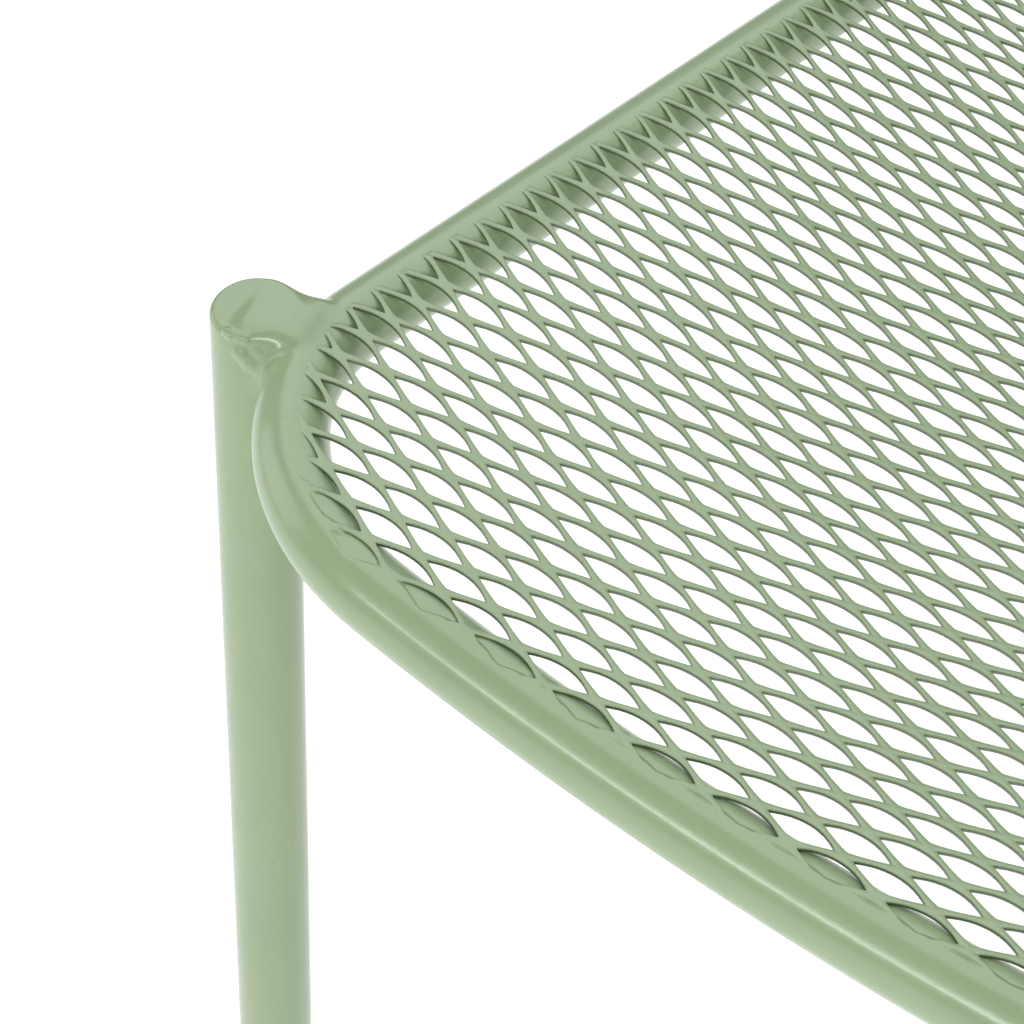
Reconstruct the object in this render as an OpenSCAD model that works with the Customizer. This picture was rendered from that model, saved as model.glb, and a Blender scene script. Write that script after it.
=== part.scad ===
// Stacking chair: a welded frame of bent steel tube with expanded metal seat and back panels.
// +Z is up, the front of the chair faces -Y, and the origin is on the floor at the centre of the bounding box.

/* [Seat] */
// Height of the top of the seat hoop's side rails above the floor
seat_height = 450; // [420:5:480]
// Width across the outside of the seat hoop
seat_width = 435; // [400:5:470]
// Length of the straight part of each side rail of the seat hoop
seat_side_length = 310; // [290:5:330]
// Bend radius of the seat hoop's corners, on the tube's centreline
seat_corner_radius = 67; // [55:1:85]
// Angle at which the front and back rails dip away from the side rails
scoop_angle = 10; // [6:1:12]
// Angle by which the front and back rails bow outward at their ends
bow_angle = 2; // [1:0.5:4]

/* [Back] */
// Length of the straight part of each side of the back hoop
back_side_length = 92; // [70:2:120]
// Height of the back hoop's centre above the floor
back_height = 674; // [650:2:700]
// Angle at which the back leans away from the vertical
back_lean = 15; // [12:1:17]

/* [Tubes] */
// Outside diameter of the hoop tube
hoop_tube = 19; // [17:1:20]
// Outside diameter of the leg tube
leg_tube = 22.2; // [21:0.1:25.4]
// Wall thickness of the tubes
tube_wall = 1.5; // [1:0.1:2]
// Bend radius of the rear legs, on the tube's centreline
leg_bend_radius = 160; // [120:10:200]
// Angle at which the rear legs slope back to the floor
rear_splay = 15; // [13:1:16]
// How far around the seat hoop's rear corners the rear legs stand
rear_leg_turn = 45; // [40:1:50]

/* [Mesh] */
// Thickness of the expanded metal
mesh_thickness = 1.5; // [1:0.1:2]
// Spacing of the mesh openings across their short way
mesh_pitch_short = 10.2; // [10:0.1:12]
// Spacing of the mesh openings along their long way
mesh_pitch_long = 22.3; // [20:0.1:26]
// Length of one opening, from tip to tip
opening_length = 16.1; // [14:0.1:17]
// Height of one opening
opening_height = 6.1; // [5.5:0.1:7]
// How many times its true size each opening is drawn, with as much metal left between them
opening_scale = 2; // [2:1:4]

/* [Feet and welds] */
// Height of a foot glide's base below the tube
glide_height = 8; // [6:1:12]
// Length of the glide's plug inside the tube
glide_plug = 18; // [12:1:25]
// Thickness of the plates that close the tops of the legs
cap_thickness = 2.5; // [2:0.5:4]
// Radius of the weld beads
weld_r = 2.8; // [2:0.1:3.2]

/* [Hidden] */
$fn = 96;

sage = "#a9b79c";
plastic_grey = "#4c4f4b";

hoop_r = hoop_tube / 2;
leg_r = leg_tube / 2;
leg_bore_r = leg_r - tube_wall;

// Where two lengths of tube meet, a narrow seam just proud of both bridges a hairline gap between their ends
seam_width = 1.2;
seam_proud = 0.06;
seam_gap = 0.1;

// Seat hoop: half the distance between the side rails' centrelines
seat_half = (seat_width - hoop_tube) / 2;
// Height of the side rails' centreline
rail_z = seat_height - hoop_r;

// The front legs stand outside the hoop, just past the start of its corners, notched where they meet the tube
leg_out = 14;
leg_back = 24;
leg_x = seat_half + leg_out;
leg_y = seat_side_length / 2 + leg_back;

// Seen from above, the hoop's corner passes a front leg's axis at joint_offset, in the direction joint_angle
// from the X axis
corner_x = seat_half - seat_corner_radius * cos(scoop_angle);
joint_offset = norm([leg_x - corner_x, leg_back]) - seat_corner_radius;
joint_angle = atan2(leg_back, leg_x - corner_x);

// The rear legs stand as close to the hoop, further around its corners, where it has dipped by rear_drop
rear_x = corner_x + (seat_corner_radius + joint_offset) * cos(rear_leg_turn);
rear_y = seat_side_length / 2 + (seat_corner_radius + joint_offset) * sin(rear_leg_turn);
rear_drop = seat_corner_radius * sin(scoop_angle) * (1 - cos(rear_leg_turn));

// Shape of a hoop's front and back rails: each corner turns through corner_turn in a plane tipped by scoop_angle,
// and the rail is one shallow arc between two corners
corner_turn = 90 - bow_angle;
rail_half_angle = acos(sin(corner_turn) * cos(scoop_angle));
rail_tip = atan2(sin(corner_turn) * sin(scoop_angle), cos(corner_turn));
function corner_reach(r) = r * cos(scoop_angle) * (1 - cos(corner_turn));
function rail_radius(half, r) = (half - corner_reach(r)) / sin(rail_half_angle);
function rail_rise(half, r) = rail_radius(half, r) * (1 - cos(rail_half_angle));

// Distance from a hoop's centre to the middle of its front rail
function rail_reach(half, straight, r) =
  straight / 2 + r * sin(corner_turn) + rail_rise(half, r) * cos(rail_tip);

// Rear leg: a straight lower run, one bend above the seat and a straight upper run in a plane X = constant
bend_z = 530;
bend_y = rear_y - (bend_z - rail_z) * tan(rear_splay);
bend_tangent = leg_bend_radius * tan((rear_splay + back_lean) / 2);
lower_run = (bend_z - glide_height) / cos(rear_splay);

// Back hoop: its sides run alongside the upper part of the rear legs and touch them
back_gap = 0.3;
back_half = rear_x - leg_r - hoop_r - back_gap;
back_y = bend_y + (back_height - bend_z) * tan(back_lean);
upper_run = (back_height - bend_z) / cos(back_lean) + back_side_length / 2;

// Distances that centre the bounding box on the origin, from the seat's front rail to the rear glides
glide_flange = 1.4;
glide_r = leg_r + glide_flange;
front_reach = rail_reach(seat_half, seat_side_length, seat_corner_radius) + hoop_r;
rear_reach = rear_y + rail_z * tan(rear_splay) + glide_r / cos(rear_splay);
centre_shift = (front_reach - rear_reach) / 2;

// ---- Shared shapes ----

// Places the children on both the left (side = -1) and the right (side = 1)
module on_side(side) {
  if (side < 0) {
    children();
  } else {
    mirror([1, 0, 0]) children();
  }
}

// A round tube along Z, open at both ends
module straight_tube(length, r) {
  difference() {
    cylinder(h = length, r = r);
    translate([0, 0, -1]) cylinder(h = length + 2, r = r - tube_wall);
  }
}

// A round tube bent to arc_r about Z, starting on the X axis
module bent_tube(arc_r, angle, r) {
  rotate_extrude(angle = angle)
    translate([arc_r, 0])
      difference() {
        circle(r = r);
        circle(r = r - tube_wall);
      }
}

// A dressed butt weld around a tube that runs along Y
module seam(r) {
  rotate([90, 0, 0])
    difference() {
      cylinder(h = seam_width, r = r + seam_proud, center = true);
      cylinder(h = 2 * seam_width, r = r - tube_wall - seam_proud, center = true);
    }
}

// Moves the children to the centre of the hoop's front left corner, starting at the side rail
module at_corner(half, straight, r) {
  translate([-half + r * cos(scoop_angle), -straight / 2, -r * sin(scoop_angle)])
    rotate([0, scoop_angle, 0])
      rotate([0, 0, 180]) children();
}

// The front rail of a hoop, one shallow arc that dips and bows outward
module hoop_rail(half, straight, r) {
  arc_r = rail_radius(half, r);
  chord_y = -straight / 2 - r * sin(corner_turn);
  chord_z = -r * sin(scoop_angle) * (1 - cos(corner_turn));
  arc_drop = arc_r * cos(rail_half_angle);
  gap_angle = seam_gap / arc_r * 180 / PI;
  translate([0, chord_y + arc_drop * cos(rail_tip), chord_z + arc_drop * sin(rail_tip)])
    rotate([180 + rail_tip, 0, 0])
      rotate([0, 0, 90 - rail_half_angle + gap_angle])
        bent_tube(arc_r, 2 * (rail_half_angle - gap_angle), hoop_r);
}

// A closed hoop of tube, centred on the origin with its side rails along Y
module hoop(half, straight, r) {
  for (front = [0, 1]) {
    mirror([0, front, 0]) {
      hoop_rail(half, straight, r);
      for (side = [0, 1]) {
        mirror([side, 0, 0])
          at_corner(half, straight, r) {
            bent_tube(r, corner_turn, hoop_r);
            translate([r, 0, 0]) seam(hoop_r);
            rotate([0, 0, corner_turn]) translate([r, 0, 0]) seam(hoop_r);
          }
      }
    }
  }
  for (side = [-1, 1]) {
    translate([side * half, straight / 2 - seam_gap, 0])
      rotate([90, 0, 0]) straight_tube(straight - 2 * seam_gap, hoop_r);
  }
}

module seat_frame() {
  translate([0, centre_shift, rail_z]) children();
}

module back_frame() {
  translate([0, back_y + centre_shift, back_height]) rotate([90 - back_lean, 0, 0]) children();
}

// The solid outside shape of the seat hoop's left corner at the front (end = 1) or the back (end = -1)
module seat_corner_bar(end) {
  seat_frame()
    mirror([0, end < 0 ? 1 : 0, 0])
      at_corner(seat_half, seat_side_length, seat_corner_radius)
        rotate_extrude(angle = corner_turn)
          translate([seat_corner_radius, 0]) circle(r = hoop_r);
}

// ---- Hoops ----

module seat_hoop() {
  color(sage) seat_frame() hoop(seat_half, seat_side_length, seat_corner_radius);
}

module back_hoop() {
  color(sage) back_frame() hoop(back_half, back_side_length, seat_corner_radius);
}

// ---- Legs ----

// Moves the children to the top of the left front leg, on its axis
module at_front_leg() {
  translate([-leg_x, centre_shift - leg_y, seat_height]) children();
}

module front_leg(side) {
  length = seat_height - cap_thickness - glide_height;
  color(sage) on_side(side) difference() {
    at_front_leg() translate([0, 0, -cap_thickness - length]) straight_tube(length, leg_r);
    seat_corner_bar(1);
  }
}

// The left rear leg: straight, bent above the seat and straight again
module rear_leg_tube() {
  bend_angle = rear_splay + back_lean;
  translate([-rear_x, centre_shift + bend_y, bend_z]) {
    rotate([rear_splay, 0, 0]) {
      translate([0, 0, -lower_run]) straight_tube(lower_run - bend_tangent - seam_gap, leg_r);
      translate([0, leg_bend_radius, -bend_tangent])
        rotate([90, 0, -90]) {
          bent_tube(leg_bend_radius, bend_angle, leg_r);
          translate([leg_bend_radius, 0, 0]) seam(leg_r);
          rotate([0, 0, bend_angle]) translate([leg_bend_radius, 0, 0]) seam(leg_r);
        }
    }
    rotate([-back_lean, 0, 0])
      translate([0, 0, bend_tangent + seam_gap])
        straight_tube(upper_run - bend_tangent - seam_gap - cap_thickness, leg_r);
  }
}

module rear_leg(side) {
  color(sage) on_side(side) difference() {
    rear_leg_tube();
    seat_corner_bar(-1);
  }
}

// ---- Leg caps ----

// A round plate that closes a leg's top and meets the hoop's side
module front_leg_cap(side) {
  color(sage) on_side(side) difference() {
    at_front_leg() translate([0, 0, -cap_thickness]) cylinder(h = cap_thickness, r = leg_r);
    seat_corner_bar(1);
  }
}

module rear_leg_cap(side) {
  color(sage) on_side(side)
    translate([-rear_x, centre_shift + bend_y, bend_z])
      rotate([-back_lean, 0, 0])
        translate([0, 0, upper_run - cap_thickness]) cylinder(h = cap_thickness, r = leg_r);
}

// ---- Welds ----

// A bead around the underside of the hoop, where a leg at the origin meets it. The hoop's centreline passes in the
// direction of angle.
module joint_bead(angle) {
  bead_tilt = 62;
  bead_sweep = 160;
  sink = 0.4;
  rotate([0, 0, angle])
    translate([joint_offset - hoop_r + sink, 0, 0])
      rotate([0, 90 - bead_tilt, 0])
        rotate([0, 90, 0])
          rotate([0, 0, -bead_sweep / 2])
            rotate_extrude(angle = bead_sweep)
              translate([hoop_r - sink, 0]) circle(r = weld_r);
}

module front_weld(side) {
  color(sage) on_side(side) difference() {
    translate([-leg_x, centre_shift - leg_y, rail_z]) joint_bead(joint_angle);
    seat_corner_bar(1);
    at_front_leg() translate([0, 0, -2 * leg_tube]) cylinder(h = 2 * leg_tube, r = leg_r);
  }
}

module rear_weld(side) {
  color(sage) on_side(side) difference() {
    translate([-rear_x, centre_shift + rear_y, rail_z]) {
      difference() {
        translate([0, 0, -rear_drop]) mirror([0, 1, 0]) joint_bead(rear_leg_turn);
        rotate([rear_splay, 0, 0]) cylinder(h = 4 * leg_tube, r = leg_r, center = true);
      }
    }
    seat_corner_bar(-1);
  }
}

// Four short beads in the grooves where a back upright runs alongside the back hoop
module back_weld(side) {
  bead_share = 0.26;
  bead = back_side_length * bead_share;
  end_space = bead * 0.8;
  groove = 4;
  contact_x = leg_r - rear_x;
  color(sage) on_side(side) back_frame()
    for (end = [-1, 1]) {
      translate([0, end * (back_side_length / 2 - end_space), 0])
        rotate([90, 0, 0])
          linear_extrude(height = bead, center = true)
            difference() {
              for (face = [-1, 1]) {
                translate([contact_x, face * groove]) circle(r = weld_r);
              }
              translate([-rear_x, 0]) circle(r = leg_r);
              translate([-back_half, 0]) circle(r = hoop_r);
            }
    }
}

// ---- Foot glides ----

// A plastic foot: a rounded base under the tube and a plug inside it, standing on its own axis
module glide(base_height) {
  edge_r = 3;
  plug_play = 0.1;
  rotate_extrude() {
    square([glide_r - edge_r, base_height]);
    translate([0, edge_r]) square([glide_r, base_height - edge_r]);
    intersection() {
      translate([glide_r - edge_r, edge_r]) circle(r = edge_r);
      square([glide_r, base_height]);
    }
    translate([0, base_height]) square([leg_bore_r - plug_play, glide_plug]);
  }
}

module front_glide(side) {
  color(plastic_grey) on_side(side)
    translate([-leg_x, centre_shift - leg_y, 0]) glide(glide_height);
}

module rear_glide(side) {
  tilted_height = glide_height / cos(rear_splay) + leg_tube * tan(rear_splay);
  foot_y = centre_shift + bend_y + lower_run * sin(rear_splay);
  color(plastic_grey) on_side(side) difference() {
    translate([-rear_x, foot_y, glide_height])
      rotate([rear_splay, 0, 0]) translate([0, 0, -tilted_height]) glide(tilted_height);
    translate([-rear_x, foot_y, -leg_tube]) cube(2 * leg_tube, center = true);
  }
}

// ---- Expanded metal panels ----

pitch_short = opening_scale * mesh_pitch_short;
pitch_long = opening_scale * mesh_pitch_long;
tip = opening_scale * opening_length / 2;
rise = opening_scale * opening_height / 2;
shoulder = tip * 0.3;
arc_steps = 6;

// One side of a row of openings, as points: the flat bonds lie on y = 0 and each opening rises away from it
function opening_edge(first, last, shift, height) = [
  for (j = [first:last])
    for (p = [[-tip, 0], [-shoulder, height], [shoulder, height], [tip, 0]])
      [(j + shift) * pitch_long + p[0], p[1]]
];

function reversed(list) = [for (k = [len(list) - 1:-1:0]) list[k]];

// One zigzag strand running from side to side, between two neighbouring rows of openings
module strand(columns, shift) {
  lower = opening_edge(-columns, columns, shift, rise);
  upper = opening_edge(-columns - 1, columns, shift + 0.5, -rise);
  end_x = (columns + 2) * pitch_long;
  top = pitch_short / 2;
  polygon(concat(
    [[-end_x, 0]], lower, [[end_x, 0], [end_x, top]],
    [for (p = reversed(upper)) [p[0], p[1] + top]], [[-end_x, top]]
  ));
}

// The whole lattice in plan, with its strands running along X
module lattice(half_w, half_d) {
  columns = ceil(half_w / pitch_long) + 1;
  rows = ceil(half_d / pitch_short);
  for (i = [-rows:rows]) {
    translate([0, i * pitch_short]) {
      strand(columns, 0);
      translate([0, pitch_short / 2]) strand(columns, 0.5);
    }
  }
}

// A hoop's outline in plan, along the tube's crown
module panel_outline(half, half_d, r) {
  square([2 * (half - r), 2 * half_d], center = true);
  square([2 * half, 2 * (half_d - r)], center = true);
  for (x = [-1, 1]) {
    for (y = [-1, 1]) {
      translate([x * (half - r), y * (half_d - r)]) circle(r = r);
    }
  }
}

// One face of the panel's cross-section, as points from left to right: an arc between two straight wings
function section_face(radius, wing) =
  let (
    end = [radius * sin(scoop_angle), -radius * cos(scoop_angle)],
    wing_end = end + wing * [cos(scoop_angle), sin(scoop_angle)]
  )
  concat(
    [[-wing_end[0], wing_end[1]]],
    [for (k = [-arc_steps:arc_steps])
      let (angle = scoop_angle * k / arc_steps) [radius * sin(angle), -radius * cos(angle)]],
    [wing_end]
  );

// The panel's cross-section in X and Z, resting on the crown of the hoop's rails
module panel_section(half, r) {
  weld_sink = 0.3;
  arc_r = (half - corner_reach(r)) / sin(scoop_angle);
  lower_r = arc_r - hoop_r + weld_sink;
  wing = r * 1.2;
  translate([0, arc_r * cos(scoop_angle) - r * sin(scoop_angle) * (1 - cos(corner_turn))])
    polygon(concat(section_face(lower_r, wing), reversed(section_face(lower_r - mesh_thickness, wing))));
}

// An expanded metal panel on top of a hoop
module panel(half, straight, r) {
  half_d = straight / 2 + r;
  tall = 200;
  color(sage) intersection() {
    rotate([90, 0, 0]) linear_extrude(height = 2 * half_d + 10, center = true) panel_section(half, r);
    linear_extrude(height = tall, center = true)
      intersection() {
        lattice(half, half_d);
        panel_outline(half, half_d, r);
      }
  }
}

module seat_mesh() {
  seat_frame() panel(seat_half, seat_side_length, seat_corner_radius);
}

module back_mesh() {
  back_frame() panel(back_half, back_side_length, seat_corner_radius);
}

// ---- Assembly ----

seat_hoop();
seat_mesh();
back_hoop();
back_mesh();
front_leg(-1);  // front_leg_left
front_leg(1);  // front_leg_right
rear_leg(-1);  // rear_leg_left
rear_leg(1);  // rear_leg_right
front_leg_cap(-1);  // front_leg_cap_left
front_leg_cap(1);  // front_leg_cap_right
rear_leg_cap(-1);  // rear_leg_cap_left
rear_leg_cap(1);  // rear_leg_cap_right
front_weld(-1);  // front_weld_left
front_weld(1);  // front_weld_right
rear_weld(-1);  // rear_weld_left
rear_weld(1);  // rear_weld_right
back_weld(-1);  // back_weld_left
back_weld(1);  // back_weld_right
front_glide(-1);  // front_glide_left
front_glide(1);  // front_glide_right
rear_glide(-1);  // rear_glide_left
rear_glide(1);  // rear_glide_right
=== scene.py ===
"""Looks of the stacking chair: bent tube, expanded metal and welds under one thick powder coat."""

import math

import bpy
import numpy as np
from mathutils import Matrix


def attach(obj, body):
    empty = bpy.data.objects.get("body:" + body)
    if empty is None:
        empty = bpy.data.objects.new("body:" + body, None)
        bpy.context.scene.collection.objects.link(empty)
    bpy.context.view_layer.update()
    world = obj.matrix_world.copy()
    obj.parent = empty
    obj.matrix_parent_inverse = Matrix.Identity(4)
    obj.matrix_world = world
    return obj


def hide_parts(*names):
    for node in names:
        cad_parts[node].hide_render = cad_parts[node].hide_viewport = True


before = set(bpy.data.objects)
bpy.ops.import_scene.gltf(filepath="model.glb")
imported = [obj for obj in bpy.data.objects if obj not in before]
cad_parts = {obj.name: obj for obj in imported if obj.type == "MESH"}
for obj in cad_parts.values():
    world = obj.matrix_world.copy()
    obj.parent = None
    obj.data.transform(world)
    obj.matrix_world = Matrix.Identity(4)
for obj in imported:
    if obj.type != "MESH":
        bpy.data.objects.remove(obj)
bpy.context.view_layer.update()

# Lengths are in millimetres until a mesh is made. The first group repeats the CAD model's dimensions.
MM = 0.001
SEAT_HEIGHT = 450.0
HOOP_R = 9.5
LEG_R = 11.1
CORNER_R = 67.0
SCOOP = math.radians(10)
CORNER_TURN = math.radians(88)
SEAT_HALF = 208.0
SEAT_STRAIGHT = 310.0
BACK_STRAIGHT = 92.0
BACK_HEIGHT = 674.0
BACK_LEAN = math.radians(15)
REAR_SPLAY = math.radians(15)
REAR_LEG_TURN = math.radians(45)
LEG_BEND_R = 160.0
BEND_Z = 530.0
GLIDE_HEIGHT = 8.0
CAP_THICKNESS = 2.5
BACK_GAP = 0.3
LEG_OUT = 14.0
LEG_BACK = 24.0
GLIDE_FLANGE = 1.4
RAIL_Z = SEAT_HEIGHT - HOOP_R
LEG_X = SEAT_HALF + LEG_OUT
LEG_Y = SEAT_STRAIGHT / 2 + LEG_BACK
CORNER_X = SEAT_HALF - CORNER_R * math.cos(SCOOP)
JOINT_OFFSET = math.hypot(LEG_X - CORNER_X, LEG_BACK) - CORNER_R
REAR_X = CORNER_X + (CORNER_R + JOINT_OFFSET) * math.cos(REAR_LEG_TURN)
REAR_Y = SEAT_STRAIGHT / 2 + (CORNER_R + JOINT_OFFSET) * math.sin(REAR_LEG_TURN)
BACK_HALF = REAR_X - LEG_R - HOOP_R - BACK_GAP
BEND_Y = REAR_Y - (BEND_Z - RAIL_Z) * math.tan(REAR_SPLAY)
BACK_Y = BEND_Y + (BACK_HEIGHT - BEND_Z) * math.tan(BACK_LEAN)

# Expanded metal: spacing of the openings along X and Y, and one opening's half length and heights
PITCH_X = 22.16
PITCH_Y = 10.115
HOLE_TIP = 8.7
HOLE_UP = 3.1
HOLE_DOWN = 3.55
# How each side of an opening closes toward its tips: 1 is a straight line, more is flatter in the middle
HOLE_UP_POWER = 2.1
HOLE_DOWN_POWER = 1.22
# How far the openings wander from their regular places along X and Y
WANDER_X = 0.22
WANDER_Y = 0.16
WANDER_WAVES = (25, 90)

# The sheet's thickness, its cut edges' radius and its middle's height above the side rails' centreline
SHEET_T = 1.15
EDGE_R = 0.3
SHEET_LIFT = 9.7
# How much the sheet ripples, and the range of its wavelengths
RIPPLE = 0.12
RIPPLE_WAVES = (30, 110)
# Distance straight across to an opening's sloping side, as a share of the distance along Y
EDGE_SLOPE = 0.88
# The dish's depth in the seat and in the back. It starts this far inside the front and back rails, deepens
# over this run and is rounded over its middle by this much.
SEAT_DISH = 11.8
BACK_DISH = 5.0
DISH_START = 2.5
DISH_RUN = 240.0
DISH_ROUND = 20.0
# The middle of an opening that the seat's rows are counted from, and the same on the back
SEAT_MESH_ORIGIN = np.array([-118.0, -1.62 - SEAT_STRAIGHT / 2])
BACK_MESH_ORIGIN = np.array([0.0, 0.0])

# Distances out from the tube's centreline on the side rails, and what is added to them on the front and
# back rails: where the sheet starts to sink into the coat, over what width it sinks, and where its free
# shape gives way to the tube's
SINK_START, SINK_START_TURNED = -3.7, 3.3
SINK_WIDTH, SINK_WIDTH_TURNED = 2.9, 1.2
BLEND_START, BLEND_START_TURNED = -4.6, 1.1
BLEND_END, BLEND_END_TURNED = -0.8, 0.8
# The sheet's middle starts this far above the crown and sinks by this much
SINK_FROM = 0.2
SINK_BY = 1.4

# Openings are laid out past the hoop by these margins, and kept when their middle is less than a limit out
# from the centreline. A face is kept when its outermost corner and its innermost corner are inside two more
# limits.
LAYOUT_MARGIN = 12
REACH_MARGIN = 8
OPENING_LIMIT = 9
FACE_OUTER_LIMIT = 6.0
FACE_INNER_LIMIT = 2.6

# The skin of powder coat along the tube's crown: its grid step and how far out from the centreline it lies
COAT_STEP = 0.25
COAT_FROM = -2.0
COAT_TO = 8.5
# How steeply a strand's side falls into an opening, and how far a strand is lowered where it is off the tube
STRAND_FALL = 4.0
STRAND_DROP = 5.0
# Extra thickness of coat on the front and back rails, and the width over which it runs into a strand
COAT_LEVEL = 0.5
COAT_MELT = 0.45
# Drops and pits of coat near an opening's edge: the band's width, the noise that counts and its height
DROP_BAND = 0.5
DROP_ABOVE = 0.68
PIT_BELOW = 0.3
DROP_HEIGHT = 2.2
# The skin is lowered by this much, and kept where it stood this much above what it covers
SKIN_SINK = 0.02
SKIN_KEPT = 0.004

# A front leg's cap: its rim's radius, its height over the rails at the leg's axis, its lean and its heading
CAP_ROUND = 1.4
CAP_RISE = 1.0
CAP_TILT = math.radians(8.5)
CAP_FALL = np.array([0.3, -0.95])
# Radii of the points on a cap's flat top
CAP_RINGS = (0, 3, 6)

# Two surfaces closer than this are the same
TINY = 0.001
# An edge shorter than this has no length
NO_LENGTH = 1e-6


# ---- Mesh helpers ----


def make_piece(name, points, faces, material, nodes=(), flip=False, painted_shade=None):
    """A smooth-shaded mesh object from points in millimetres and an array of quads.

    A quad that repeats its last point is a triangle.
    """
    faces = np.asarray(faces, dtype=np.int32)
    tri = faces[:, 2] == faces[:, 3]
    quads, tris = faces[~tri], faces[tri][:, :3]
    if flip:
        quads, tris = quads[:, ::-1], tris[:, ::-1]
    loops = np.concatenate([quads.ravel(), tris.ravel()])
    starts = np.concatenate([np.arange(len(quads)) * 4, len(quads) * 4 + np.arange(len(tris)) * 3])
    mesh = bpy.data.meshes.new(name)
    mesh.vertices.add(len(points))
    mesh.vertices.foreach_set("co", (points * MM).astype(np.float32).ravel())
    mesh.loops.add(len(loops))
    mesh.loops.foreach_set("vertex_index", loops.astype(np.int32))
    mesh.polygons.add(len(starts))
    mesh.polygons.foreach_set("loop_start", starts.astype(np.int32))
    mesh.update(calc_edges=True)
    mesh.validate()
    mesh.shade_smooth()
    # The attribute carries painted shade for the strands' side faces
    if painted_shade is not None:
        attribute = mesh.attributes.new("painted_shade", "FLOAT", "POINT")
        attribute.data.foreach_set("value", painted_shade.astype(np.float32))
    mesh.materials.append(material)
    obj = bpy.data.objects.new(name, mesh)
    bpy.context.scene.collection.objects.link(obj)
    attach(obj, "root")
    if nodes:
        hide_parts(*nodes)
    return obj


def grid_faces(rows, columns, close_rows=False, close_columns=False):
    """Quads over a grid of points numbered row by row."""
    i = np.arange(rows if close_rows else rows - 1)
    j = np.arange(columns if close_columns else columns - 1)
    i, j = [a.ravel() for a in np.meshgrid(i, j, indexing="ij")]
    i2, j2 = (i + 1) % rows, (j + 1) % columns
    return np.stack([i * columns + j, i2 * columns + j, i2 * columns + j2, i * columns + j2], axis=1)


def merged(points, faces, grain=0.002):
    """Joins points that coincide, and drops unused points and faces that have lost their area."""
    keys = np.round(points[:, :3] / grain).astype(np.int64)
    keys -= keys.min(axis=0)
    span = keys.max(axis=0) + 1
    flat = (keys[:, 0] * span[1] + keys[:, 1]) * span[2] + keys[:, 2]
    used = np.zeros(len(points), dtype=bool)
    used[faces.ravel()] = True
    _, first, back = np.unique(np.where(used, flat, -1), return_index=True, return_inverse=True)
    faces = back[faces]
    a, b, c, d = faces.T
    faces = faces[(a != b) & (b != c) & (d != a) & (a != c) & (b != d)]
    keep, back = np.unique(faces.ravel(), return_inverse=True)
    return points[first][keep], back.reshape(faces.shape)


def unit(v):
    return v / np.linalg.norm(v, axis=-1, keepdims=True)


def sweep(path, side, radius, sides, closed=False):
    """A tube along a path. side holds a unit vector across the path at each point, and radius may vary."""
    ahead = np.roll(path, -1, axis=0) - np.roll(path, 1, axis=0)
    if not closed:
        ahead[0], ahead[-1] = path[1] - path[0], path[-1] - path[-2]
    up = unit(np.cross(side, unit(ahead)))
    turn = np.arange(sides) * 2 * math.pi / sides
    radius = np.broadcast_to(np.asarray(radius, dtype=float), (len(path),))
    ring = np.cos(turn)[None, :, None] * side[:, None] + np.sin(turn)[None, :, None] * up[:, None]
    points = path[:, None] + radius[:, None, None] * ring
    return points.reshape(-1, 3), grid_faces(len(path), sides, closed, True)


def lathe(profile, sides=72):
    """A turned shape about Z from a profile of (radius, height) points, from the top down."""
    profile = np.asarray(profile, dtype=float)
    turn = np.arange(sides) * 2 * math.pi / sides
    points = np.stack(
        [
            profile[:, :1] * np.cos(turn),
            profile[:, :1] * np.sin(turn),
            np.repeat(profile[:, 1:], sides, axis=1),
        ],
        axis=2,
    ).reshape(-1, 3)
    faces = grid_faces(len(profile), sides, False, True)
    return merged(points, with_triangles(points, faces))


def with_triangles(points, faces):
    """Turns quads that have one edge of no length into triangles, which repeat their last point."""
    same = np.linalg.norm(points[faces[:, 0]] - points[faces[:, 3]], axis=1) < NO_LENGTH
    faces = faces.copy()
    faces[same] = faces[same][:, [0, 1, 2, 2]]
    other = np.linalg.norm(points[faces[:, 1]] - points[faces[:, 2]], axis=1) < NO_LENGTH
    other &= ~same
    faces[other] = faces[other][:, [0, 1, 3, 3]]
    return faces


def arc(centre, radius, start, end, steps=8):
    """Points of a circular arc, with its angles in degrees."""
    angle = np.radians(np.linspace(start, end, steps + 1))
    return [(centre[0] + radius * math.cos(a), centre[1] + radius * math.sin(a)) for a in angle]


def smooth_step(low, high, value):
    t = np.clip((value - low) / (high - low), 0, 1)
    return t * t * (3 - 2 * t)


def smooth_max(a, b, width):
    h = np.maximum(width - np.abs(a - b), 0) / width
    return np.maximum(a, b) + h * h * width / 4


def smooth_min(a, b, width):
    return -smooth_max(-a, -b, width)


class Waviness:
    """A smooth random height over the plane, as a sum of waves between two wavelengths."""

    def __init__(self, seed, shortest, longest, waves=9):
        rng = np.random.default_rng(seed)
        length = rng.uniform(shortest, longest, waves)
        heading = rng.uniform(0, math.pi, waves)
        self.k = 2 * math.pi / length * np.array([np.cos(heading), np.sin(heading)])
        self.phase = rng.uniform(0, 2 * math.pi, waves)

    def at(self, x, y):
        total = 0
        for kx, ky, phase in zip(self.k[0], self.k[1], self.phase):
            total = total + np.sin(kx * x + ky * y + phase)
        return total / math.sqrt(len(self.phase) / 2)


# ---- Hoops and their panels ----


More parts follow.
